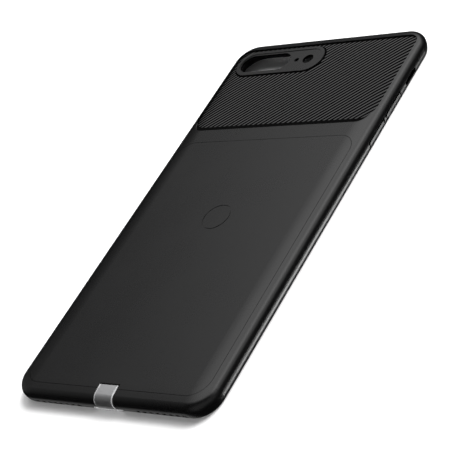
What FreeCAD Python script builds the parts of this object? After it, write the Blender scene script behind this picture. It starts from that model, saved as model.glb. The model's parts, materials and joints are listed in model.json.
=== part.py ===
import FreeCAD, Part
import math
import os
import Sketcher

# Slim clip-on phone case with a built-in wireless charging receiver.
# X runs across the back, Y towards the lens end, Z out of the back. The rim lies on Z = 0.
# Lengths are millimetres, angles degrees.
SIZES = {
    # the phone that the case is moulded for
    "phone_width": 77.9,
    "phone_length": 158.2,
    "phone_thickness": 7.3,
    "phone_corner": 6.8,
    "phone_edge": 3.5,
    "phone_proud": 2.7,
    "phone_clearance": 0.1,
    # the moulded form
    "side_wall": 1.6,
    "edge_radius": 2.5,
    "crown_tilt": 8,
    "crown_margin": 0.5,
    "rim_inset": 1.0,
    # the receiver bay and its cover
    "bay_floor": 0.35,
    "bay_height": 0.6,
    "bay_width": 62,
    "bay_length": 92,
    "bay_corner": 5,
    "cover_thickness": 0.45,
    "cover_width": 74.8,
    "cover_top": 28.9,
    "cover_bottom": 76.4,
    "cover_corner": 6.5,
    "seam_gap": 0.14,
    "glue_gap": 0.05,
    "mark_place": 6.6,
    "mark_radius": 5.3,
    "mark_line": 0.3,
    "mark_depth": 0.15,
    # the ribbed panel
    "panel_length": 43.5,
    "panel_inset": 2.3,
    "panel_corner": 5,
    "panel_drop": 0.6,
    "panel_top_inset": 3.6,
    "panel_top_corner": 4,
    "ramp_slope": 14.5,
    "rib_pitch": 1.475,
    "rib_angle": 43.3,
    "rib_depth": 0.3,
    "groove_width": 0.7,
    # the lens deck
    "deck_width": 38.2,
    "deck_height": 12.4,
    "deck_from_side": 4.2,
    "deck_from_end": 11.1,
    "deck_rise": 0.4,
    "deck_lip": 1.2,
    "deck_dish": 0.2,
    "lens_width": 21.8,
    "lens_height": 8.6,
    "lens_from_lip": 0.4,
    "flash_radius": 2.15,
    "flash_place": 6.6,
    "microphone_radius": 0.95,
    "microphone_place": 11.6,
    # side openings and press pads
    "mute_from_end": 20.4,
    "mute_length": 8.2,
    "mute_height": 2.4,
    "mute_depth": 1.1,
    "mute_slope": 35,
    "mute_rounding": 0.9,
    "pad_length": 10.6,
    "pad_height": 1.8,
    "pad_line": 0.34,
    "pad_depth": 0.8,
    "pad_lift": 1.5,
    "pad_rounding": 0.9,
    "volume_up_from_end": 34.2,
    "volume_down_from_end": 47.1,
    "power_from_end": 34.2,
    "sound_count": 8,
    "sound_pitch": 2.6,
    "sound_start": 12.4,
    "sound_width": 1.4,
    "sound_height": 1.4,
    "sound_lift": 1.3,
    # the metal strip over the bottom edge
    "arm_width": 8.0,
    "arm_reach": 5.9,
    "arm_rise": 0.1,
    "arm_depth": 0.3,
    "arm_face_rise": 0.28,
    "arm_face_inset": 0.6,
    "arm_face_start": 1.8,
    "arm_clearance": 0.2,
    "foot_width": 12,
    "foot_low": 0.3,
    "foot_height": 1.4,
    "foot_flare": 1.6,
    "channel_depth": 0.5,
    # the plug
    "plug_width": 9.0,
    "plug_height": 1.8,
    "tongue_width": 6.65,
    "tongue_thickness": 1.5,
    "tongue_length": 6.7,
    "tongue_root": 0.35,
    "carrier_width": 5.3,
    "carrier_length": 3.6,
    "carrier_start": 1.6,
    "contact_count": 8,
    "contact_pitch": 0.64,
    "contact_width": 0.36,
    "contact_thickness": 0.12,
    # the receiver inside the bay
    "ferrite_width": 46,
    "ferrite_thickness": 0.15,
    "ferrite_corner": 5,
    "coil_outer": 42,
    "coil_turns": 7,
    "coil_pitch": 1.6,
    "coil_wire": 1.2,
    "coil_thickness": 0.15,
    "lead_width": 1.6,
    "lead_spread": 5,
    "lead_thickness": 0.08,
    "board_width": 28,
    "board_length": 12,
    "board_gap": 2,
    "chip_width": 4.2,
    "chip_height": 0.26,
    "inductor_width": 2.6,
    "inductor_height": 0.26,
    "capacitor_count": 5,
    "capacitor_length": 1.6,
    "capacitor_width": 0.8,
    "capacitor_height": 0.24,
    "capacitor_pitch": 1.7,
    "flex_width": 6,
    "flex_thickness": 0.12,
    "flex_cover": 0.05,
    # how far cutting tools reach past the faces that they cut
    "overshoot": 2,
}

doc = FreeCAD.newDocument("charging_case")
sheet = doc.addObject("Spreadsheet::Sheet", "Sizes")
for row, (alias, number) in enumerate(SIZES.items(), start=1):
    sheet.set(f"A{row}", alias)
    sheet.set(f"B{row}", str(number))
    sheet.setAlias(f"B{row}", alias)
doc.recompute()


class Size:
    """A size that carries its formula on the sheet's cells together with its number."""

    def __init__(self, formula, number):
        self.formula = formula
        self.number = number

    @staticmethod
    def of(value):
        return value if isinstance(value, Size) else Size(repr(float(value)), float(value))

    def __add__(self, other):
        other = Size.of(other)
        return Size(f"({self.formula} + {other.formula})", self.number + other.number)

    def __sub__(self, other):
        other = Size.of(other)
        return Size(f"({self.formula} - {other.formula})", self.number - other.number)

    def __mul__(self, other):
        other = Size.of(other)
        return Size(f"({self.formula} * {other.formula})", self.number * other.number)

    def __truediv__(self, other):
        other = Size.of(other)
        return Size(f"({self.formula} / {other.formula})", self.number / other.number)

    def __neg__(self):
        return Size(f"(0 - {self.formula})", -self.number)


def root(size):
    return Size(f"sqrt({size.formula})", math.sqrt(size.number))


def sine(size):
    return Size(f"sin({size.formula})", math.sin(math.radians(size.number)))


def cosine(size):
    return Size(f"cos({size.formula})", math.cos(math.radians(size.number)))


def cell(alias):
    return Size(f"Sizes.{alias}", float(sheet.get(alias)))


def bind(thing, prop, size):
    """Sets a property to a size and ties it to the sheet."""
    size = Size.of(size)
    thing.setExpression(prop, size.formula)


NONE = Size.of(0)
SAME_PLACE = 1e-6

# Values worked out from the driving sizes.
half_width = cell("phone_width") / 2 + cell("phone_clearance") + cell("side_wall")
half_length = cell("phone_length") / 2 + cell("phone_clearance") + cell("side_wall")
corner = cell("phone_corner") + cell("phone_clearance") + cell("side_wall")
ceiling = cell("phone_thickness") - cell("phone_proud")
bay_level = ceiling + cell("bay_floor")
back = bay_level + cell("bay_height") + cell("cover_thickness")
phone_middle = ceiling - cell("phone_thickness") / 2
edge_run = cell("edge_radius") * (Size.of(1) - sine(cell("crown_tilt")))
crown_run = corner - cell("crown_margin") - edge_run
crown_radius = crown_run / sine(cell("crown_tilt"))
crown_drop = crown_radius * (Size.of(1) - cosine(cell("crown_tilt")))
widest = back - crown_drop - cell("edge_radius") * cosine(cell("crown_tilt"))
crest = back - cell("panel_drop")
deck_top = crest + cell("deck_rise")
above = back + cell("overshoot")
outside = half_length + cell("overshoot")


def new_body(name):
    return doc.addObject("PartDesign::Body", name)


def origin_plane(body, role):
    return next(item for item in body.Origin.OriginFeatures if item.Role == role)


def new_sketch(body, name, role="XY_Plane", offset=NONE):
    """A sketch on one of the body's own planes, moved along the plane's normal."""
    sketch = body.newObject("Sketcher::SketchObject", name)
    sketch.AttachmentSupport = [(origin_plane(body, role), "")]
    sketch.MapMode = "FlatFace"
    sketch.AttachmentOffset = FreeCAD.Placement(FreeCAD.Vector(0, 0, offset.number), FreeCAD.Rotation())
    bind(sketch, ".AttachmentOffset.Base.z", offset)
    return sketch


def hold_point(edge, point, place):
    """Constraints that hold a point at its place, each with its size."""
    x = Size.of(place[0])
    y = Size.of(place[1])
    return [(Sketcher.Constraint("DistanceX", -1, 1, edge, point, x.number), x),
            (Sketcher.Constraint("DistanceY", -1, 1, edge, point, y.number), y)]


def hold_radius(edge, radius):
    return [(Sketcher.Constraint("Radius", edge, radius.number), radius)]


def constrain(sketch, rows):
    """Adds constraints together and ties each one that has a size to the sheet."""
    first = sketch.ConstraintCount
    sketch.addConstraint([constraint for constraint, size in rows])
    for index, (constraint, size) in enumerate(rows):
        if size is not None:
            bind(sketch, f"Constraints[{first + index}]", size)


def arc_between(start, end, radius):
    """The shorter arc from start to end, bulging to the right of the way from one to the other."""
    start_point = FreeCAD.Vector(*start, 0)
    end_point = FreeCAD.Vector(*end, 0)
    chord = end_point - start_point
    reach = math.sqrt(max(radius ** 2 - (chord.Length / 2) ** 2, 0))
    left = FreeCAD.Vector(-chord.y, chord.x, 0).normalize()
    middle = (start_point + end_point) / 2
    side = 1 if radius > 0 else -1
    centre = middle + left * reach * side
    bulge = centre - left * abs(radius) * side
    return Part.Arc(start_point, bulge, end_point)


def draw_loop(sketch, corners):
    """Draws a closed loop of (x, y, radius of the way on, or None for a straight way)."""
    first = sketch.GeometryCount
    numbers = [(Size.of(x).number, Size.of(y).number) for x, y, radius in corners]
    for index, (x, y, radius) in enumerate(corners):
        start = numbers[index]
        end = numbers[(index + 1) % len(corners)]
        if radius is None:
            sketch.addGeometry(Part.LineSegment(FreeCAD.Vector(*start, 0), FreeCAD.Vector(*end, 0)))
        else:
            sketch.addGeometry(arc_between(start, end, radius.number))
    rows = []
    for index, (x, y, radius) in enumerate(corners):
        edge = first + index
        follower = first + (index + 1) % len(corners)
        if radius is None:
            start_point, end_point = 1, 2
        else:
            start_point, end_point = arc_ends(sketch, edge, numbers[index])
        next_start = 1
        if corners[(index + 1) % len(corners)][2] is not None:
            next_start = arc_ends(sketch, follower, numbers[(index + 1) % len(corners)])[0]
        rows.append((Sketcher.Constraint("Coincident", edge, end_point, follower, next_start), None))
        rows += hold_point(edge, start_point, (x, y))
        if radius is not None:
            rows += hold_radius(edge, Size(f"abs({radius.formula})", abs(radius.number)))
    constrain(sketch, rows)


def arc_ends(sketch, edge, start):
    """Numbers of an arc's first and last point, as the way round the loop meets them."""
    place = sketch.getPoint(edge, 1)
    near = math.dist((place.x, place.y), start) < SAME_PLACE
    return (1, 2) if near else (2, 1)


def draw_round_box(sketch, low, high, radii):
    """A rectangle with a radius for each corner: low right, high right, high left, low left."""
    x0, y0 = low
    x1, y1 = high
    r0, r1, r2, r3 = radii
    corners = [
        (x1 - r0, y0, r0),
        (x1, y0 + r0, None),
        (x1, y1 - r1, r1),
        (x1 - r1, y1, None),
        (x0 + r2, y1, r2),
        (x0, y1 - r2, None),
        (x0, y0 + r3, r3),
        (x0 + r3, y0, None),
    ]
    kept = []
    for (x, y, radius), after in zip(corners, corners[1:] + corners[:1]):
        gap = math.dist((x.number, y.number), (after[0].number, after[1].number))
        if gap > SAME_PLACE:
            kept.append((x, y, radius))
    draw_loop(sketch, kept)


def draw_round_rectangle(sketch, centre, width, height, radius):
    x, y = centre
    low = (x - width / 2, y - height / 2)
    high = (x + width / 2, y + height / 2)
    draw_round_box(sketch, low, high, [radius] * 4)


def draw_rectangle(sketch, low, high):
    x0, y0 = low
    x1, y1 = high
    draw_loop(sketch, [(x0, y0, None), (x1, y0, None), (x1, y1, None), (x0, y1, None)])


def draw_circle(sketch, centre, radius):
    place = FreeCAD.Vector(centre[0].number, centre[1].number, 0)
    edge = sketch.addGeometry(Part.Circle(place, FreeCAD.Vector(0, 0, 1), radius.number))
    constrain(sketch, hold_point(edge, 3, centre) + hold_radius(edge, radius))


def pad(body, sketch, length, slope=None, both_ways=False, backwards=False):
    """Pads a sketch along its normal, with a slope of its walls if one is given."""
    feature = body.newObject("PartDesign::Pad", sketch.Name + "_pad")
    feature.Profile = sketch
    bind(feature, "Length", length)
    if slope is not None:
        bind(feature, "TaperAngle", slope)
    if both_ways:
        feature.SideType = "Symmetric"
    feature.Reversed = backwards
    sketch.Visibility = False
    return feature


def repeat(body, features, sketch, axis, count, pitch):
    """Repeats features in a row along an axis of a sketch."""
    row = body.newObject("PartDesign::LinearPattern", sketch.Name + "_row")
    row.Originals = features
    row.Direction = (sketch, [axis])
    row.Occurrences = count
    bind(row, "Length", pitch * (count - 1))
    body.Tip = row


def boolean(kind, name, base, tool):
    feature = doc.addObject(kind, name)
    feature.Base = base
    feature.Tool = tool
    return feature


def cut(name, base, tool):
    return boolean("Part::Cut", name, base, tool)


def common(name, base, tool):
    return boolean("Part::Common", name, base, tool)


def fuse(name, shapes):
    feature = doc.addObject("Part::MultiFuse", name)
    feature.Shapes = shapes
    feature.Refine = True
    return feature


def case_form(name, inset):
    """The case's outer form, every face moved inwards by the inset, from the rim's plane up."""
    body = new_body(name)
    side = half_width - inset
    end = half_length - inset
    top = back - inset
    turn = corner - inset
    edge = cell("edge_radius") - inset
    crown = crown_radius - inset
    low = cell("rim_inset")
    tilt = cell("crown_tilt")
    lower = (widest * widest + low * low) / (low * 2)
    plan = new_sketch(body, name + "_plan")
    draw_round_box(plan, (-side, -end), (side, end), [turn] * 4)
    edge_in = side - edge * (Size.of(1) - sine(tilt))
    flat_in = edge_in - crown * sine(tilt)
    inset_of_ring = turn - cell("crown_margin") / 2
    inner = side - inset_of_ring
    section = new_sketch(body, name + "_section", "XZ_Plane")
    draw_loop(section, [
        (inner, NONE, None),
        (side - low, NONE, lower),
        (side, widest, edge),
        (edge_in, widest + edge * cosine(tilt), crown),
        (flat_in, top, None),
        (inner, top, None),
    ])
    sweep = body.newObject("PartDesign::AdditivePipe", name + "_sweep")
    sweep.Profile = section
    sweep.Spine = plan
    core = new_sketch(body, name + "_core")
    overlap = cell("crown_margin") / 4
    core_x = inner + overlap
    core_y = end - inset_of_ring + overlap
    draw_rectangle(core, (-core_x, -core_y), (core_x, core_y))
    pad(body, core, top)
    return body


def edges_at(feature, level):
    """Names of a feature's edges that lie flat at a level."""
    names = []
    for index, edge in enumerate(feature.Shape.Edges, start=1):
        box = edge.BoundBox
        if box.ZLength < SAME_PLACE and abs(box.ZMin - level.number) < SAME_PLACE:
            names.append(f"Edge{index}")
    return names


def phone_space():
    """The phone's room: a slab with rounded edges at the rim and sloped ones under the back."""
    body = new_body("phone_space")
    gap = cell("phone_clearance")
    side = cell("phone_width") / 2 + gap
    end = cell("phone_length") / 2 + gap
    sketch = new_sketch(body, "phone_outline", offset=-cell("phone_proud"))
    draw_round_box(sketch, (-side, -end), (side, end), [cell("phone_corner") + gap] * 4)
    slab = pad(body, sketch, cell("phone_thickness"))
    doc.recompute()
    rounding = body.newObject("PartDesign::Fillet", "phone_lip")
    rounding.Base = (slab, edges_at(slab, -cell("phone_proud")))
    bind(rounding, "Radius", cell("phone_edge"))
    doc.recompute()
    slope = body.newObject("PartDesign::Chamfer", "phone_cove")
    slope.Base = (rounding, edges_at(rounding, ceiling))
    bind(slope, "Size", cell("phone_edge") * (Size.of(2) - root(Size.of(2))))
    return body


def rib_comb():
    """A slab above the back with a tooth for each groove of the ribbed panel."""
    body = new_body("rib_comb")
    slab = new_sketch(body, "comb_slab", offset=back)
    draw_rectangle(slab, (-half_width, NONE), (half_width, half_length))
    pad(body, slab, above - back)
    tooth = new_sketch(body, "comb_tooth", "XZ_Plane")
    turn = cell("rib_angle") + 90
    tooth.AttachmentOffset = FreeCAD.Placement(
        FreeCAD.Vector(), FreeCAD.Rotation(FreeCAD.Vector(0, 1, 0), turn.number))
    bind(tooth, ".AttachmentOffset.Rotation.Angle", turn)
    half = cell("groove_width") / 2
    draw_rectangle(tooth, (-half, ceiling), (half, above))
    reach = half_width + half_length
    first = pad(body, tooth, reach * 2, both_ways=True)
    count = math.ceil(reach.number / cell("rib_pitch").number)
    repeat(body, [first], tooth, "H_Axis", count, cell("rib_pitch"))
    return body


deck_left = -half_width + cell("deck_from_side")
deck_right = deck_left + cell("deck_width")
deck_middle = half_length - cell("deck_from_end")


def draw_deck(sketch, inset):
    """The oval outline of the lens deck, moved inwards by the inset."""
    half = cell("deck_height") / 2 - inset
    low = (deck_left + inset, deck_middle - half)
    high = (deck_right - inset, deck_middle + half)
    draw_round_box(sketch, low, high, [half] * 4)


panel_side = half_width - cell("panel_inset")
panel_low = half_length - cell("panel_length")


def panel_column():
    """The column over the ribbed panel, round the lens deck."""
    body = new_body("panel_column")
    low_corner = cell("panel_corner")
    top_corner = cell("panel_top_corner")
    top = half_length - cell("panel_top_inset")
    sketch = new_sketch(body, "panel_outline", offset=ceiling)
    radii = [low_corner, top_corner, top_corner, low_corner]
    draw_round_box(sketch, (-panel_side, panel_low), (panel_side, top), radii)
    draw_deck(sketch, NONE)
    pad(body, sketch, above - ceiling)
    return body


def panel_ramp():
    """The slope from the smooth back down to the ribs, along the panel's lower border."""
    body = new_body("panel_ramp")
    steepness = sine(cell("ramp_slope")) / cosine(cell("ramp_slope"))
    run = cell("panel_drop") / steepness
    corner_turn = cell("panel_corner") - run
    side = panel_side - run
    sketch = new_sketch(body, "ramp_outline", offset=crest)
    draw_round_box(sketch, (-side, panel_low), (side, panel_low + corner_turn * 2), [corner_turn] * 4)
    pad(body, sketch, cell("panel_drop"), slope=Size.of(90) - cell("ramp_slope"))
    return body


def deck_cutter():
    """What is taken off the lens deck: the room above it, its shallow dish and its three holes."""
    body = new_body("deck_cutter")
    roof = new_sketch(body, "deck_roof", offset=deck_top)
    draw_deck(roof, -cell("deck_lip"))
    pad(body, roof, above - deck_top)
    dish = new_sketch(body, "deck_dish_outline", offset=deck_top - cell("deck_dish"))
    draw_deck(dish, cell("deck_lip"))
    pad(body, dish, above - deck_top)
    holes = new_sketch(body, "deck_holes", offset=phone_middle)
    lens_left = deck_left + cell("deck_lip") + cell("lens_from_lip")
    lens_middle = (lens_left + cell("lens_width") / 2, deck_middle)
    lens_height = cell("lens_height")
    draw_round_rectangle(holes, lens_middle, cell("lens_width"), lens_height, lens_height / 2)
    draw_circle(holes, (deck_right - cell("flash_place"), deck_middle), cell("flash_radius"))
    draw_circle(holes, (deck_right - cell("microphone_place"), deck_middle), cell("microphone_radius"))
    pad(body, holes, above - phone_middle)
    return body


def cover_prism(name, growth):
    """The column inside the cover's seam line, its outline moved outwards by the growth."""
    body = new_body(name)
    side = cell("cover_width") / 2 + growth
    top = cell("cover_top") + growth
    low = -cell("cover_bottom") - growth
    sketch = new_sketch(body, name + "_outline", offset=ceiling)
    draw_round_box(sketch, (-side, low), (side, top), [cell("cover_corner") + growth] * 4)
    pad(body, sketch, above - ceiling)
    return body


def arm_prism(name, growth, start, thin):
    """The strip's outline seen from the foot, run along Y from its top end outwards."""
    body = new_body(name)
    half = cell("arm_width") / 2 + growth - thin
    foot = cell("foot_width") / 2 + growth - thin
    low = cell("foot_low") - growth + thin
    knee = low + cell("foot_height") + growth * 2 - thin * 2
    flare = cell("foot_flare")
    sketch = new_sketch(body, name + "_outline", "XZ_Plane", half_length - start)
    draw_loop(sketch, [
        (-foot, low, None),
        (foot, low, None),
        (foot, knee, None),
        (half + flare, knee, -flare),
        (half, knee + flare, None),
        (half, above, None),
        (-half, above, None),
        (-half, knee + flare, -flare),
        (-half - flare, knee, None),
        (-foot, knee, None),
    ])
    pad(body, sketch, start + cell("overshoot"))
    return body


def box_body(name, low, high):
    """A plain block between two corners."""
    body = new_body(name)
    sketch = new_sketch(body, name + "_outline", offset=Size.of(low[2]))
    draw_rectangle(sketch, (Size.of(low[0]), Size.of(low[1])), (Size.of(high[0]), Size.of(high[1])))
    pad(body, sketch, Size.of(high[2]) - low[2])
    return body


def finish(feature, label):
    """Marks a feature as a finished sub-part, whose label names its file."""
    feature.Label = label
    finished.append(feature)


finished = []

# Forms that the shell, the cover and the strip share.
outer_form = case_form("outer_form", NONE)
seat_form = case_form("seat_form", cell("cover_thickness"))
cover_inner_form = case_form("cover_inner_form", cell("cover_thickness") - cell("glue_gap"))
arm_outer_form = case_form("arm_outer_form", -cell("arm_rise"))
arm_face_form = case_form("arm_face_form", -cell("arm_face_rise"))
arm_inner_form = case_form("arm_inner_form", cell("arm_depth"))
flex_outer = cell("arm_depth") + cell("flex_cover")
flex_outer_form = case_form("flex_outer_form", flex_outer)
flex_inner = flex_outer + cell("flex_thickness")
flex_inner_form = case_form("flex_inner_form", flex_inner)
channel_form = case_form("channel_form", cell("channel_depth"))
flex_edge = cell("edge_radius") - flex_inner
flex_rise = bay_level - widest
bend_start = -half_length + cell("edge_radius") - root(flex_edge * flex_edge - flex_rise * flex_rise)

# Cutters of the moulded shell.
panel_room = fuse("panel_room", [panel_column(), panel_ramp()])
crest_form = case_form("crest_form", cell("panel_drop"))
valley_form = case_form("valley_form", cell("panel_drop") + cell("rib_depth"))
panel_cutter = cut("panel_cutter", panel_room, crest_form)
groove_column = common("groove_column", rib_comb(), panel_room)
groove_cutter = cut("groove_cutter", groove_column, valley_form)
cover_seat = cut("cover_seat", cover_prism("seat_prism", cell("seam_gap")), seat_form)
channel_reach = cell("arm_reach") + cell("arm_clearance")
channel_prism = arm_prism("channel_prism", cell("arm_clearance"), channel_reach, NONE)
arm_channel = cut("arm_channel", channel_prism, channel_form)


def bay_cutter():
    """The receiver bay and the trench that leads its tail to the strip."""
    body = new_body("bay_cutter")
    middle = (cell("cover_top") - cell("cover_bottom")) / 2
    outline = new_sketch(body, "bay_outline", offset=bay_level)
    draw_round_rectangle(outline, (NONE, middle), cell("bay_width"), cell("bay_length"), cell("bay_corner"))
    pad(body, outline, above - bay_level)
    trench = new_sketch(body, "trench_outline", offset=bay_level)
    half = cell("flex_width") / 2 + cell("arm_clearance")
    draw_rectangle(trench, (-half, bend_start), (half, middle))
    pad(body, trench, above - bay_level)
    return body


def plug_cutter():
    """The notch in the bottom wall, open at the rim, that the plug's block fills."""
    gap = cell("phone_clearance")
    side = cell("plug_width") / 2 + gap
    half = cell("plug_height") / 2 + gap
    low = (-side, -outside, -cell("overshoot"))
    high = (side, -half_length + cell("side_wall") + cell("phone_edge"), phone_middle + half)
    return box_body("plug_cutter", low, high)


def sound_cutter():
    """Two rows of sound holes through the bottom wall."""
    body = new_body("sound_cutter")
    depth = cell("side_wall") + cell("phone_edge")
    count = int(cell("sound_count").number)
    row = cell("sound_pitch") * (count - 1)
    half = cell("sound_width") / 2
    low = cell("sound_lift") - cell("sound_height") / 2
    holes = []
    for place in (cell("sound_start"), -cell("sound_start") - row):
        sketch = new_sketch(body, "sound_hole", "XZ_Plane", half_length - depth)
        draw_rectangle(sketch, (place - half, low), (place + half, low + cell("sound_height")))
        holes.append(pad(body, sketch, depth + cell("overshoot")))
    repeat(body, holes, sketch, "H_Axis", count, cell("sound_pitch"))
    return body


def mute_cutter():
    """The scooped opening for the switch on the right side."""
    body = new_body("mute_cutter")
    depth = cell("side_wall") + cell("phone_edge")
    sketch = new_sketch(body, "mute_outline", "YZ_Plane", half_width - cell("mute_depth"))
    slope_run = cell("mute_depth") * sine(cell("mute_slope")) / cosine(cell("mute_slope"))
    length = cell("mute_length") - slope_run * 2
    height = cell("mute_height") - slope_run * 2
    centre = (half_length - cell("mute_from_end"), cell("pad_lift"))
    rounding = height * cell("mute_rounding") / 2
    draw_round_rectangle(sketch, centre, length, height, rounding)
    pad(body, sketch, cell("mute_depth") * 2, slope=cell("mute_slope"))
    through = new_sketch(body, "mute_through", "YZ_Plane", half_width - depth)
    draw_round_rectangle(through, centre, length, height, rounding)
    pad(body, through, depth)
    return body


def pad_cutter(name, side, places):
    """Grooves that outline the press pads of one side."""
    body = new_body(name)
    start = half_width - cell("pad_depth")
    offset = start if side > 0 else -start
    sketch = new_sketch(body, name + "_outline", "YZ_Plane", offset)
    for place in places:
        centre = (half_length - place, cell("pad_lift"))
        for growth in (NONE, cell("pad_line")):
            length = cell("pad_length") + growth * 2
            height = cell("pad_height") + growth * 2
            draw_round_rectangle(sketch, centre, length, height, height * cell("pad_rounding") / 2)
    pad(body, sketch, cell("pad_depth") * 2, backwards=side < 0)
    return body


shell = outer_form
room = phone_space()
right_pads = pad_cutter("right_pads", 1, [cell("volume_up_from_end"), cell("volume_down_from_end")])
left_pads = pad_cutter("left_pads", -1, [cell("power_from_end")])
shell_cutters = [
    panel_cutter,
    groove_cutter,
    deck_cutter(),
    room,
    cover_seat,
    bay_cutter(),
    arm_channel,
    plug_cutter(),
    sound_cutter(),
    mute_cutter(),
    right_pads,
    left_pads,
]
for step, cutter in enumerate(shell_cutters, start=1):
    shell = cut(f"shell_step_{step}", shell, cutter)
finish(shell, "shell")


def mark_cutter():
    """The fine ring sunk in the cover over the middle of the coil."""
    body = new_body("mark_cutter")
    sketch = new_sketch(body, "mark_ring", offset=back - cell("mark_depth"))
    centre = (NONE, -cell("mark_place"))
    draw_circle(sketch, centre, cell("mark_radius"))
    draw_circle(sketch, centre, cell("mark_radius") - cell("mark_line"))
    pad(body, sketch, above - back)
    return body


def cover_notch():
    """The notch at the foot of the cover that the strip's top end lies in."""
    side = cell("arm_width") / 2 + cell("arm_clearance")
    top = -half_length + cell("arm_reach") + cell("arm_clearance")
    return box_body("cover_notch", (-side, -half_length, ceiling), (side, top, above))


cover = common("cover_blank", outer_form, cover_prism("cover_prism", NONE))
cover = cut("cover_hollow", cover, cover_inner_form)
cover = cut("cover_marked", cover, mark_cutter())
finish(cut("cover_notched", cover, cover_notch()), "receiver_cover")

# The strip: a bent plate with a raised face, both following the case's bottom edge.
arm_plate_prism = arm_prism("arm_plate_prism", NONE, cell("arm_reach"), NONE)
arm_plate = common("arm_plate", arm_outer_form, arm_plate_prism)
face_reach = cell("arm_reach") - cell("arm_face_start")
arm_face_prism = arm_prism("arm_face_prism", NONE, face_reach, cell("arm_face_inset"))
arm_face = common("arm_face", arm_face_form, arm_face_prism)
arm_blank = fuse("arm_blank", [arm_plate, arm_face])
finish(cut("arm_bent", arm_blank, arm_inner_form), "connector_arm")

# The plug: block in the bottom wall, metal tongue, insert and contact strips.
inner_wall = -half_length + cell("side_wall")
root_end = inner_wall - cell("tongue_root")
tip = inner_wall + cell("tongue_length")
plug_side = cell("plug_width") / 2
plug_half = cell("plug_height") / 2
tongue_side = cell("tongue_width") / 2
tongue_half = cell("tongue_thickness") / 2
block_low = (-plug_side, -outside, phone_middle - plug_half)
block_high = (plug_side, inner_wall + cell("phone_edge"), phone_middle + plug_half)
plug_block = common("plug_block", flex_outer_form, box_body("plug_blank", block_low, block_high))
plug_faced = cut("plug_faced", plug_block, room)


def tongue_body(name):
    """The tongue's outline with its rounded tip, from its root in the block."""
    body = new_body(name)
    sketch = new_sketch(body, name + "_outline", offset=phone_middle - tongue_half)
    radii = [NONE, tongue_half, tongue_half, NONE]
    draw_round_box(sketch, (-tongue_side, root_end), (tongue_side, tip), radii)
    pad(body, sketch, cell("tongue_thickness"))
    return body


carrier_side = cell("carrier_width") / 2
carrier_low = tip - cell("carrier_start") - cell("carrier_length")
carrier_high = tip - cell("carrier_start")
tongue = tongue_body("tongue_blank")
finish(cut("plug_slotted", plug_faced, tongue), "plug_base")
window = box_body("carrier_window", (-carrier_side, carrier_low, phone_middle - tongue_half),
                  (carrier_side, carrier_high, phone_middle + tongue_half))
finish(cut("tongue_windowed", tongue, window), "plug_tongue")
carrier_half = tongue_half - cell("contact_thickness")
finish(box_body("carrier_block", (-carrier_side, carrier_low, phone_middle - carrier_half),
                (carrier_side, carrier_high, phone_middle + carrier_half)), "contact_carrier")


def contact_body():
    """Contact strips on both faces of the insert."""
    body = new_body("contact_strips")
    count = int(cell("contact_count").number)
    left = -cell("contact_pitch") * ((count - 1) / 2) - cell("contact_width") / 2
    strips = []
    for level in (phone_middle - tongue_half, phone_middle + carrier_half):
        sketch = new_sketch(body, "contact_strip", offset=level)
        draw_rectangle(sketch, (left, carrier_low), (left + cell("contact_width"), carrier_high))
        strips.append(pad(body, sketch, cell("contact_thickness")))
    repeat(body, strips, sketch, "H_Axis", count, cell("contact_pitch"))
    return body


finish(contact_body(), "plug_contacts")

# The receiver inside the bay.
coil_middle = -cell("mark_place")
ferrite_top = bay_level + cell("ferrite_thickness")


def ferrite_body():
    body = new_body("ferrite_plate")
    sketch = new_sketch(body, "ferrite_outline", offset=bay_level)
    width = cell("ferrite_width")
    draw_round_rectangle(sketch, (NONE, coil_middle), width, width, cell("ferrite_corner"))
    pad(body, sketch, cell("ferrite_thickness"))
    return body


finish(ferrite_body(), "ferrite_sheet")


COIL_SIDES = 8


def spiral_points(reach):
    """Corners of an eight-sided spiral, each side a little closer to the middle than the last."""
    step = math.radians(360 / COIL_SIDES)
    turns = int(cell("coil_turns").number)
    gain = cell("coil_pitch").number / COIL_SIDES
    points = []
    for side in range(turns * COIL_SIDES):
        here = reach - gain * side
        ahead = here - gain
        along = (ahead - here * math.cos(step)) / math.sin(step)
        angle = step * side
        x = here * math.cos(angle) - along * math.sin(angle)
        y = here * math.sin(angle) + along * math.cos(angle)
        points.append(FreeCAD.Vector(x, y, 0))
    return points


def coil_feature():
    """A flat coil of one conductor, its two edges a wire's width apart."""
    reach = cell("coil_outer").number / 2
    outer_edge = spiral_points(reach)
    inner_edge = spiral_points(reach - cell("coil_wire").number)
    outline = outer_edge + inner_edge[::-1] + outer_edge[:1]
    face = Part.Face(Part.makePolygon(outline))
    feature = doc.addObject("Part::Feature", "coil_winding")
    feature.Shape = face.extrude(FreeCAD.Vector(0, 0, cell("coil_thickness").number))
    feature.Placement = FreeCAD.Placement(
        FreeCAD.Vector(0, coil_middle.number, ferrite_top.number), FreeCAD.Rotation())
    return feature


finish(coil_feature(), "receiver_coil")
coil_top = ferrite_top + cell("coil_thickness")
board_top_edge = coil_middle - cell("ferrite_width") / 2 - cell("board_gap")
board_low_edge = board_top_edge - cell("board_length")
board_middle = board_low_edge + cell("board_length") / 2
board_side = cell("board_width") / 2


def coil_leads():
    """Two flat leads to the board: one over the turns from the inner end, one from the outer turn."""
    body = new_body("lead_strips")
    sketch = new_sketch(body, "lead_outlines", offset=coil_top)
    half = cell("lead_width") / 2
    low = board_top_edge - cell("lead_width")
    foot_of_turn = cell("coil_outer") / 2 - cell("coil_pitch") * 0.75 - cell("coil_wire") / 2
    inner_turn = foot_of_turn - cell("coil_pitch") * (cell("coil_turns") - 1)
    for place, reach in ((NONE, inner_turn), (cell("lead_spread"), foot_of_turn)):
        draw_rectangle(sketch, (place - half, low), (place + half, coil_middle - reach))
    pad(body, sketch, cell("lead_thickness"))
    return body


finish(coil_leads(), "coil_leads")

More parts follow.
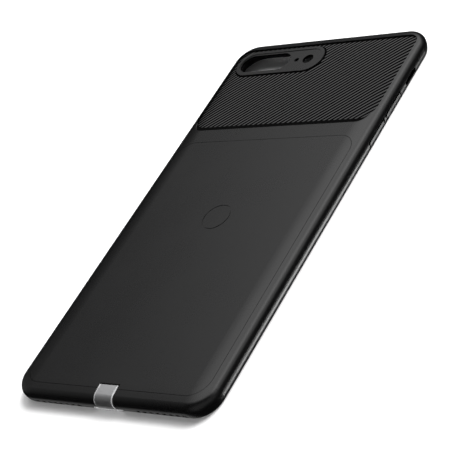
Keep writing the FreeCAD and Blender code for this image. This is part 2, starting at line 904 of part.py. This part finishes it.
# The board is as thick as the sheet and the coil together, so the leads lie flat on it.
finish(box_body("board_plate", (-board_side, board_low_edge, bay_level),
                (board_side, board_top_edge, coil_top)), "receiver_board")


def block_on_board(name, centre, width, length, height):
    """A part soldered flat on the board."""
    low = (centre[0] - width / 2, centre[1] - length / 2, coil_top)
    high = (centre[0] + width / 2, centre[1] + length / 2, coil_top + height)
    return box_body(name, low, high)


chip_width = cell("chip_width")
chip_place = (NONE, board_middle)
chip = block_on_board("chip_block", chip_place, chip_width, chip_width, cell("chip_height"))
finish(chip, "receiver_chip")
choke_width = cell("inductor_width")
choke_place = (-board_side / 2, board_middle)
choke = block_on_board("inductor_block", choke_place, choke_width, choke_width, cell("inductor_height"))
finish(choke, "board_inductor")


def capacitor_body():
    """A row of chip capacitors beside the receiver chip."""
    body = new_body("capacitor_blocks")
    sketch = new_sketch(body, "capacitor_outline", offset=coil_top)
    count = int(cell("capacitor_count").number)
    x = board_side / 2
    y = board_middle - cell("capacitor_pitch") * ((count - 1) / 2)
    low = (x - cell("capacitor_length") / 2, y - cell("capacitor_width") / 2)
    high = (x + cell("capacitor_length") / 2, y + cell("capacitor_width") / 2)
    draw_rectangle(sketch, low, high)
    block = pad(body, sketch, cell("capacitor_height"))
    repeat(body, [block], sketch, "V_Axis", count, cell("capacitor_pitch"))
    return body


finish(capacitor_body(), "board_capacitors")


def flex_tail():
    """The flat tail: along the trench from the board, then under the strip round the bottom edge."""
    half = cell("flex_width") / 2
    flat_low = (-half, bend_start, bay_level)
    flat_high = (half, board_low_edge, bay_level + cell("flex_thickness"))
    flat = box_body("flex_flat", flat_low, flat_high)
    wrap_low = (-half, -half_length, phone_middle + plug_half)
    wrap_high = (half, bend_start, above)
    wrap = common("flex_wrap", flex_outer_form, box_body("flex_room", wrap_low, wrap_high))
    bent = cut("flex_bent", wrap, flex_inner_form)
    return fuse("flex_whole", [flat, bent])


finish(flex_tail(), "flex_tail")

doc.recompute()
for item in doc.Objects:
    if "Invalid" in item.State or "Error" in item.State:
        raise RuntimeError(f"{item.Name} failed: {item.State}")
os.makedirs("parts", exist_ok=True)
for feature in finished:
    shape = feature.Shape
    if shape.isNull() or not shape.isValid():
        raise RuntimeError(f"{feature.Label} has no valid shape")
    print(feature.Label, len(shape.Solids), round(shape.Volume, 2))
for feature in finished:
    feature.Shape.exportStep(f"parts/{feature.Label}.step")
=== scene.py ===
import json
import math

import bpy
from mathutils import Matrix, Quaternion, Vector


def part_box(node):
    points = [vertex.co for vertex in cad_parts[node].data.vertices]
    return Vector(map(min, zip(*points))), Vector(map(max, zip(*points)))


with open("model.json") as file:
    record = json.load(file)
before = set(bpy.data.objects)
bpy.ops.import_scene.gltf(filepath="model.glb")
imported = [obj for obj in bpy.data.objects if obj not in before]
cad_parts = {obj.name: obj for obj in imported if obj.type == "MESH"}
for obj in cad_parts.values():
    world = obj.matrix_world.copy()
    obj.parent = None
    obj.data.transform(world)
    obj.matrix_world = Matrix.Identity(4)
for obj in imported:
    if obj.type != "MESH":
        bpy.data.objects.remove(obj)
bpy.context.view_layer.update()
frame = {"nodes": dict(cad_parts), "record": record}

MM = 0.001
FULL_TURN = 2.0 * math.pi
shell_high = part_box("shell")[1]
strip_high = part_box("connector_arm")[1]

# The outline's corners, and the crown of the back, which falls away near the outline.
CORNER = 8.5 * MM
CROWN_START = 0.5 * MM
CROWN_RADIUS = 42.0 * MM

# The ribbed panel: its reach towards the outline, its lower border and the run of its ribs.
PANEL_REACH = 6.3 * MM
PANEL_LOW = 45.0 * MM
RIB_PITCH = 1.475 * MM
RIB_ANGLE = math.radians(43.3)
RIB_ROUNDING = 0.055 * MM

# Places across a rib, as shares of the pitch: its highest line and the middle of its lit side; the far side
# beyond it gets painted shade.
RIB_TOP = 0.7
RIB_LIT = 0.47
LIT_WAVE = (0.05, 0.5)

# Depths below the crown: where painted shade (and, for the crests, their rounding) starts and where it is
# full, or where it ends.
RAMP_SHADE = (0.018 * MM, 0.09 * MM)
WALL_SHADE = (0.45 * MM, 0.48 * MM)
SLOPE_END = 0.558 * MM
CREST_SHADE = (0.54 * MM, 0.582 * MM)
GROOVE_SHADE = (0.675 * MM, 0.765 * MM)
GROOVE_END = 1.08 * MM

# The lens deck: an oval of straight sides and round ends, with a painted shade line round it.
DECK_MIDDLE = -17.35 * MM
DECK_STRAIGHT = 12.9 * MM
DECK_RADIUS = 6.2 * MM
DECK_FROM_END = 11.1 * MM
DECK_SHADE_WIDTH = 0.6 * MM

# The side's section: an arc from the back's edge to the widest line, and a flatter one down to the rim.
WIDEST = 3.11 * MM
EDGE_RADIUS = 2.5 * MM
LOW_RADIUS = 5.34 * MM

# What is sunk into the sides: the depths where its painted shade comes in, its deepest place and its
# lowest.
PIT_SHADE = (0.05 * MM, 0.12 * MM)
PIT_LIMIT = 0.85 * MM
PIT_LOW = 0.3 * MM

# The press pads: their size, the height of their middle, their painted shade outline and their places from
# the lens end.
PAD_LENGTH = 10.6 * MM
PAD_HEIGHT = 1.8 * MM
PAD_LIFT = 1.5 * MM
PAD_SHADE_START = (-0.05 * MM, 0.05 * MM)
PAD_SHADE_END = (0.5 * MM, 0.6 * MM)
RIGHT_PADS = (34.2 * MM, 47.1 * MM)
LEFT_PAD = 34.2 * MM

# Moulded plastic: its clouds and its spark-eroded grain, and how far each swings the roughness.
CLOUD_SIZE = 22.0 * MM
CLOUD_SWING = 0.06
GRAIN_SIZE = 0.16 * MM
GRAIN_SWING = 0.05
GRAIN_HEIGHT = 0.004 * MM
GRAIN_STRENGTH = 0.5
PLASTIC_IOR = 1.5

# The metal strip: the polished lines beside its brushed face, the top of its foot (both with a painted
# highlight) and the gap at its end, which gets painted shade.
LINE_START = (3.4 * MM, 3.5 * MM)
LINE_END = (3.7 * MM, 3.8 * MM)
FOOT_TOP = 1.8 * MM
END_SHADE_LENGTH = 0.4 * MM

# The strip's finish: its brush lines, and how much smoother its polished places are, and how much less
# metallic, so that their paler colour shows as a painted highlight.
STRIP_BRUSH = 0.1 * MM
STRIP_SWING = 0.2
STRIP_ROUGH = 0.4
STRIP_METALLIC = 0.97
POLISH_SMOOTHER = 0.15
POLISH_HIGHLIGHT_PALER = 0.5
ALONG_STRIP = (1.0, 0.04, 0.04)

# Brushed metal: its brush lines, the clouds of its tone and the ways that the lines run.
BRUSH_SIZE = 0.12 * MM
BRUSH_SWING = 0.18
BRUSH_HEIGHT = 0.003 * MM
BRUSH_STRENGTH = 0.6
METAL_CLOUD = 3.0 * MM
ALONG_PLUG = (1.0, 0.1, 0.1)
IN_PLANE = (0.2, 0.2, 1.0)

# Speckles of matt solids.
SPECK_SWING = 0.15
SPECK_HEIGHT = 0.01 * MM
SPECK_STRENGTH = 0.4

# Camera: fitted to the outline of the case, rolled as the photograph is.
CAMERA_PLACE = Vector((0.32698, -0.26261, 0.26790))
CAMERA_AIM = Vector((0.00586, -0.01021, 0.0060))
CAMERA_ROLL = 34.73
FOCAL_LENGTH = 123.84
SENSOR_WIDTH = 36.0

# The studio floor, with a hair of room under the rim.
FLOOR_SIZE = 6.0
FLOOR_CLOUD = 0.4
FLOOR_DROP = 0.02 * MM

# Soft glows in a dark sky: azimuth from +Y towards +X, elevation, inner and outer half angle, radiance.
DARK_SKY = 0.004
GLOWS = {
    "back": (-10.0, 58.0, 26.0, 42.0, 1.62),
    "right": (42.0, 43.0, 8.0, 38.0, 1.2),
    "long_side": (33.0, -52.0, 2.0, 9.0, 9.0),
    "bottom_edge": (-104.0, -47.0, 3.0, 20.0, 0.34),
    "left": (-94.0, 22.0, 8.0, 34.0, 0.22),
    "front_right": (103.0, 20.0, 8.0, 38.0, 0.26),
    "front": (162.0, 24.0, 10.0, 46.0, 0.3),
}

# Square lamps for the floor and the metal strip: azimuth, elevation, width in metres, radiance.
LAMP_DISTANCE = 1.0
LAMPS = {
    "floor_light": (30.0, 48.0, 0.6, 14.4),
    "front_light": (-160.0, 16.0, 0.5, 7.0),
}


class Wire:
    """An output of a shader node. Sums and products of wires add the nodes that work them out."""

    def __init__(self, tree, socket):
        self.tree = tree
        self.socket = socket

    def node(self, kind, settings, sockets, output=0):
        """Adds a node: its settings first, then the values or links of its sockets."""
        node = self.tree.nodes.new("ShaderNode" + kind)
        for name, value in settings.items():
            setattr(node, name, value)
        for name, value in sockets.items():
            if isinstance(value, Wire):
                self.tree.links.new(value.socket, node.inputs[name])
            else:
                node.inputs[name].default_value = value
        return Wire(self.tree, node.outputs[output])

    def maths(self, operation, first, second=0.0):
        return self.node("Math", {"operation": operation}, {0: first, 1: second})

    def __add__(self, other):
        return self.maths("ADD", self, other)

    def __radd__(self, other):
        return self.maths("ADD", other, self)

    def __sub__(self, other):
        return self.maths("SUBTRACT", self, other)

    def __rsub__(self, other):
        return self.maths("SUBTRACT", other, self)

    def __mul__(self, other):
        return self.maths("MULTIPLY", self, other)

    def __rmul__(self, other):
        return self.maths("MULTIPLY", other, self)

    def __gt__(self, other):
        return self.maths("GREATER_THAN", self, other)

    def __lt__(self, other):
        return self.maths("LESS_THAN", self, other)

    def __abs__(self):
        return self.maths("ABSOLUTE", self)

    def above(self, low):
        """The wire, or low where that is higher."""
        return self.maths("MAXIMUM", self, low)

    def root(self):
        return self.maths("SQRT", self)

    def cosine(self):
        return self.maths("COSINE", self)

    def axes(self):
        """The X, Y and Z of a vector."""
        return [self.node("SeparateXYZ", {}, {"Vector": self}, output=axis) for axis in range(3)]

    def between(self, low, high):
        """Rises from 0 to 1 as the wire goes from low to high."""
        sockets = {"Value": self, "From Min": low, "From Max": high}
        return self.node("MapRange", {"interpolation_type": "SMOOTHSTEP"}, sockets)


def new_material(name):
    """A new material, the wire of its places and its shader node."""
    material = bpy.data.materials.new(name)
    material.use_nodes = True
    tree = material.node_tree
    shader = tree.nodes["Principled BSDF"]
    places = tree.nodes.new("ShaderNodeTexCoord")
    return material, Wire(tree, places.outputs["Object"]), shader


def feed(shader, wires, constants):
    """Links wires to a shader's inputs and sets the inputs that are the same all over."""
    for name, wire in wires.items():
        wire.tree.links.new(wire.socket, shader.inputs[name])
    for name, value in constants.items():
        shader.inputs[name].default_value = value


def colour(r, g, b):
    return (r, g, b, 1.0)


def mix(factor, first, second):
    """A colour between two colours."""
    sockets = {"Factor": factor, 6: first, 7: second}
    return factor.node("Mix", {"data_type": "RGBA"}, sockets, output=2)


def grain(place, size, detail=2.0, stretch=(1.0, 1.0, 1.0)):
    """Even noise whose blobs are about as large as size, in metres, stretched along the axes."""
    scaled = place.node("Mapping", {}, {"Vector": place, "Scale": stretch})
    sockets = {"Vector": scaled, "Scale": 1.0 / size, "Detail": detail, "Roughness": 0.5}
    return place.node("TexNoise", {}, sockets)


def swing(noise, amount):
    """Noise about zero, as wide as the amount."""
    return (noise - 0.5) * amount


def bump(height, distance, strength=1.0, under=None):
    """Bumps of a height, on top of other bumps where there are some under them."""
    sockets = {"Height": height, "Distance": distance, "Strength": strength}
    if under:
        sockets["Normal"] = under
    return height.node("Bump", {}, sockets)


def moulding(place, dark, light, gloss):
    """The clouded tone, the roughness and the spark-eroded grain of satin black plastic."""
    cloud = grain(place, CLOUD_SIZE, detail=3.0)
    fine = grain(place, GRAIN_SIZE)
    rough = gloss + swing(cloud, CLOUD_SWING) + swing(fine, GRAIN_SWING)
    return mix(cloud, dark, light), rough, fine


def moulded_plastic(name, dark, light, gloss):
    """Satin black moulding."""
    material, place, shader = new_material(name)
    tone, rough, fine = moulding(place, dark, light, gloss)
    skin = bump(fine, GRAIN_HEIGHT, GRAIN_STRENGTH)
    feed(shader, {"Base Color": tone, "Roughness": rough, "Normal": skin}, {"IOR": PLASTIC_IOR})
    return material


def case_reach(x, y):
    """How far a place lies outside the rectangle that the outline's corner arcs are drawn round."""
    past_x = (abs(x) - (shell_high[0] - CORNER)).above(0.0)
    past_y = (abs(y) - (shell_high[1] - CORNER)).above(0.0)
    return (past_x * past_x + past_y * past_y).root()


def crown_depth(reach, z):
    """How deep a place lies below the crowned back."""
    fall = (reach - CROWN_START).above(0.0)
    return shell_high[2] - z - fall * fall * (0.5 / CROWN_RADIUS)


def rib_wave(x, y, top):
    """A wave across the ribs, highest at a place given as a share of their pitch."""
    across = (y * math.cos(RIB_ANGLE) - x * math.sin(RIB_ANGLE)) * (FULL_TURN / RIB_PITCH)
    return (across - FULL_TURN * top).cosine()


def deck_shade_line(x, y):
    """The painted shade line round the lens deck."""
    past_end = (abs(x - DECK_MIDDLE) - DECK_STRAIGHT).above(0.0)
    beside = y - (shell_high[1] - DECK_FROM_END)
    gap = (past_end * past_end + beside * beside).root() - DECK_RADIUS
    return (gap > 0.0) * (gap < DECK_SHADE_WIDTH)


def panel_shade(x, y, depth, crests):
    """Painted shade on the ribbed panel: in its grooves, on its sloping borders, on the far sides of its
    ribs and round the lens deck.
    """
    grooves = depth.between(*GROOVE_SHADE)
    ramp = (y < PANEL_LOW) * depth.between(*RAMP_SHADE)
    walls = (y > PANEL_LOW) * depth.between(*WALL_SHADE)
    slopes = (ramp + walls) * (depth < SLOPE_END)
    lit = rib_wave(x, y, RIB_LIT).between(*LIT_WAVE)
    # Painted shade on the far sides of the ribs, and round the lens deck.
    far_sides = crests * (1.0 - lit).above(deck_shade_line(x, y))
    return (depth < GROOVE_END) * (grooves + slopes).above(far_sides)


def side_pit_shade(reach, z):
    """Painted shade in what is sunk into the sides: the switch opening, the pad grooves and the sound
    holes.
    """
    rise = z - WIDEST
    low_skin = CORNER - LOW_RADIUS + (LOW_RADIUS ** 2 - rise * rise).root()
    high_skin = CORNER - EDGE_RADIUS + (EDGE_RADIUS ** 2 - rise * rise).root()
    over = rise > 0.0
    inset = low_skin * (1.0 - over) + high_skin * over - reach
    return inset.between(*PIT_SHADE) * (inset < PIT_LIMIT) * (z > PIT_LOW)


def pad_shade_line(y, z, from_end):
    """The painted shade line round one press pad."""
    beyond_end = abs(y - (shell_high[1] - from_end)) - PAD_LENGTH / 2
    beyond_edge = abs(z - PAD_LIFT) - PAD_HEIGHT / 2
    gap = beyond_end.above(beyond_edge)
    return gap.between(*PAD_SHADE_START) * (1.0 - gap.between(*PAD_SHADE_END))


def pad_shade_lines(x, y, z):
    """The painted shade lines round the press pads of both long sides."""
    upper, lower = [pad_shade_line(y, z, from_end) for from_end in RIGHT_PADS]
    return (x > 0.0) * upper.above(lower) + (x < 0.0) * pad_shade_line(y, z, LEFT_PAD)


def case_plastic(name, dark, light, painted_shade_colour, gloss):
    """The case's moulding: satin black with rounded ribs, mixed towards a near-black dull shader as painted
    shade in its grooves and sunk places.
    """
    material, place, shader = new_material(name)
    x, y, z = place.axes()
    reach = case_reach(x, y)
    depth = crown_depth(reach, z)
    inside = reach < PANEL_REACH
    crests = inside * depth.between(*CREST_SHADE)
    sunk = side_pit_shade(reach, z).above(pad_shade_lines(x, y, z))
    # Painted shade: where this mask is 1 the satin shader gives way to a near-black dull one.
    shade = (inside * panel_shade(x, y, depth, crests)).above((1.0 - inside) * sunk)
    rounding = crests * (1.0 + rib_wave(x, y, RIB_TOP))
    tone, rough, fine = moulding(place, dark, light, gloss)
    skin = bump(fine, GRAIN_HEIGHT, GRAIN_STRENGTH, bump(rounding, RIB_ROUNDING))
    feed(shader, {"Base Color": tone, "Roughness": rough, "Normal": skin}, {"IOR": PLASTIC_IOR})
    satin = Wire(place.tree, shader.outputs["BSDF"])
    # A near-black dull shader, used only as painted shade.
    painted_shade_settings = {"Base Color": painted_shade_colour, "Roughness": 0.8, "Specular IOR Level": 0.05}
    shaded = place.node("BsdfPrincipled", {}, painted_shade_settings)
    satin_and_painted_shade = place.node("MixShader", {}, {"Fac": shade, 1: satin, 2: shaded})
    place.tree.links.new(satin_and_painted_shade.socket, place.tree.nodes["Material Output"].inputs["Surface"])
    return material


def strip_metal(name, brushed, polished_highlight, painted_shade_colour):
    """The metal strip: a brushed face between polished lines and a polished foot, which are paler as a
    painted highlight, and painted shade at the gap at its end.
    """
    material, place, shader = new_material(name)
    x, y, z = place.axes()
    aside = abs(x)
    line = aside.between(*LINE_START) * (1.0 - aside.between(*LINE_END))
    # Polished lines and foot: smoother, and also paler and less metallic as a painted highlight.
    highlight_mask = line.above(z < FOOT_TOP)
    # The strip's end by the cover: painted shade.
    gap = y > strip_high[1] - END_SHADE_LENGTH
    lines = grain(place, STRIP_BRUSH, detail=3.0, stretch=ALONG_STRIP)
    tone = mix(gap, mix(highlight_mask, brushed, polished_highlight), painted_shade_colour)
    rough = STRIP_ROUGH + swing(lines, STRIP_SWING) - highlight_mask * POLISH_SMOOTHER
    metallic = STRIP_METALLIC - highlight_mask * POLISH_HIGHLIGHT_PALER
    skin = bump(lines * (1.0 - highlight_mask), BRUSH_HEIGHT, BRUSH_STRENGTH)
    feed(shader, {"Base Color": tone, "Roughness": rough, "Metallic": metallic, "Normal": skin}, {})
    return material


def brushed_metal(name, dark, light, gloss, stretch):
    """Metal with fine brush lines, stretched the way that they run."""
    material, place, shader = new_material(name)
    lines = grain(place, BRUSH_SIZE, detail=3.0, stretch=stretch)
    tone = mix(grain(place, METAL_CLOUD), dark, light)
    rough = gloss + swing(lines, BRUSH_SWING)
    skin = bump(lines, BRUSH_HEIGHT, BRUSH_STRENGTH)
    feed(shader, {"Base Color": tone, "Roughness": rough, "Normal": skin}, {"Metallic": 1.0})
    return material


def matt_solid(name, dark, light, gloss, size):
    """A matt or sintered solid with speckles of the given size."""
    material, place, shader = new_material(name)
    speck = grain(place, size, detail=3.0)
    tone = mix(speck, dark, light)
    rough = gloss + swing(speck, SPECK_SWING)
    skin = bump(speck, SPECK_HEIGHT, SPECK_STRENGTH)
    feed(shader, {"Base Color": tone, "Roughness": rough, "Normal": skin}, {})
    return material


FINISHES = {
    "case_plastic": case_plastic(
        "case_plastic", dark=colour(0.0022, 0.0022, 0.0023), light=colour(0.003, 0.003, 0.0031),
        # The near-black colour below is painted shade for the grooves and sunk places.
        painted_shade_colour=colour(0.0004, 0.0004, 0.0004), gloss=0.28),
    "cover_plastic": moulded_plastic(
        "cover_plastic", dark=colour(0.0023, 0.0023, 0.0024), light=colour(0.0031, 0.0031, 0.0032),
        gloss=0.28),
    "strip_steel": strip_metal(
        # The polished colour below is paler partly as a painted highlight.
        "strip_steel", brushed=colour(0.62, 0.62, 0.63), polished_highlight=colour(0.8, 0.8, 0.81),
        # The near-black colour below is painted shade at the strip's end gap.
        painted_shade_colour=colour(0.01, 0.01, 0.01)),
    "plug_plastic": moulded_plastic(
        "plug_plastic", dark=colour(0.018, 0.018, 0.019), light=colour(0.026, 0.026, 0.027), gloss=0.5),
    "tongue_steel": brushed_metal(
        "tongue_steel", dark=colour(0.58, 0.58, 0.58), light=colour(0.7, 0.7, 0.7), gloss=0.25,
        stretch=ALONG_PLUG),
    "contact_gold": brushed_metal(
        "contact_gold", dark=colour(0.75, 0.5, 0.16), light=colour(0.9, 0.66, 0.28), gloss=0.25,
        stretch=ALONG_PLUG),
    "ferrite": matt_solid(
        "ferrite", dark=colour(0.06, 0.06, 0.065), light=colour(0.12, 0.12, 0.125), gloss=0.6,
        size=0.8 * MM),
    "coil_copper": brushed_metal(
        "coil_copper", dark=colour(0.6, 0.26, 0.12), light=colour(0.78, 0.4, 0.22), gloss=0.32,
        stretch=IN_PLANE),
    "board_laminate": matt_solid(
        "board_laminate", dark=colour(0.01, 0.07, 0.03), light=colour(0.02, 0.12, 0.05), gloss=0.4,
        size=1.5 * MM),
    "chip_resin": matt_solid(
        "chip_resin", dark=colour(0.015, 0.015, 0.016), light=colour(0.03, 0.03, 0.031), gloss=0.55,
        size=0.3 * MM),
    "inductor_ceramic": matt_solid(
        "inductor_ceramic", dark=colour(0.12, 0.12, 0.125), light=colour(0.22, 0.22, 0.225), gloss=0.55,
        size=0.3 * MM),
    "capacitor_ceramic": matt_solid(
        "capacitor_ceramic", dark=colour(0.42, 0.3, 0.18), light=colour(0.6, 0.47, 0.32), gloss=0.5,
        size=0.3 * MM),
    "flex_film": matt_solid(
        "flex_film", dark=colour(0.24, 0.1, 0.02), light=colour(0.4, 0.18, 0.05), gloss=0.35,
        size=2.0 * MM),
}

for part in frame["record"]["subparts"]:
    frame["nodes"][part["node"]].material_slots[0].material = FINISHES[part["material_slot"]]


def add_floor():
    """A wide pale floor under the case, which its gloss doesn't mirror."""
    bpy.ops.mesh.primitive_plane_add(size=FLOOR_SIZE)
    floor = bpy.context.object
    floor.name = "studio_floor"
    floor.location.z = -FLOOR_DROP
    material, place, shader = new_material("floor_paper")
    dark = colour(0.84, 0.84, 0.84)
    light = colour(0.86, 0.86, 0.86)
    tone = mix(grain(place, FLOOR_CLOUD), dark, light)
    feed(shader, {"Base Color": tone}, {"Roughness": 0.7})
    floor.data.materials.append(material)
    floor.visible_glossy = False
    floor.visible_shadow = False


def direction(azimuth, elevation):
    """The way to a light, from its azimuth and elevation in degrees."""
    turn = math.radians(azimuth)
    rise = math.radians(elevation)
    return Vector((math.cos(rise) * math.sin(turn), math.cos(rise) * math.cos(turn), math.sin(rise)))


def soft_glow(view, azimuth, elevation, inner, outer, radiance):
    """A round soft light in the sky that fades from its inner to its outer half angle."""
    aim = direction(azimuth, elevation)
    facing = view.node("VectorMath", {"operation": "DOT_PRODUCT"}, {0: view, 1: aim}, output=1)
    return facing.between(math.cos(math.radians(outer)), math.cos(math.radians(inner))) * radiance


def add_sky():
    """A dark sky with the soft glows that the case mirrors."""
    world = bpy.data.worlds.new("studio")
    world.use_nodes = True
    tree = world.node_tree
    places = tree.nodes.new("ShaderNodeTexCoord")
    view = Wire(tree, places.outputs["Generated"])
    strength = sum((soft_glow(view, *glow) for glow in GLOWS.values()), DARK_SKY)
    background = tree.nodes["Background"]
    feed(background, {"Strength": strength}, {"Color": colour(1.0, 1.0, 1.0)})
    bpy.context.scene.world = world


def add_lamp(name, azimuth, elevation, width, radiance):
    """A soft square light that looks at the case and isn't mirrored."""
    light = bpy.data.lights.new(name, "AREA")
    light.size = width
    light.energy = radiance * math.pi * width * width
    lamp = bpy.data.objects.new(name, light)
    lamp.location = LAMP_DISTANCE * direction(azimuth, elevation)
    lamp.rotation_euler = (-lamp.location).to_track_quat("-Z", "Y").to_euler()
    lamp.visible_glossy = False
    bpy.context.scene.collection.objects.link(lamp)


def add_camera():
    """The camera at the photograph's place and angle."""
    data = bpy.data.cameras.new("camera")
    data.sensor_width = SENSOR_WIDTH
    data.lens = FOCAL_LENGTH
    camera = bpy.data.objects.new("camera", data)
    look = CAMERA_AIM - CAMERA_PLACE
    roll = Quaternion((0.0, 0.0, 1.0), math.radians(-CAMERA_ROLL))
    camera.rotation_mode = "QUATERNION"
    camera.rotation_quaternion = look.to_track_quat("-Z", "Y") @ roll
    camera.location = CAMERA_PLACE
    bpy.context.scene.collection.objects.link(camera)
    bpy.context.scene.camera = camera


add_floor()
add_sky()
for lamp, settings in LAMPS.items():
    add_lamp(lamp, *settings)
add_camera()
bpy.context.scene.view_settings.view_transform = "Standard"
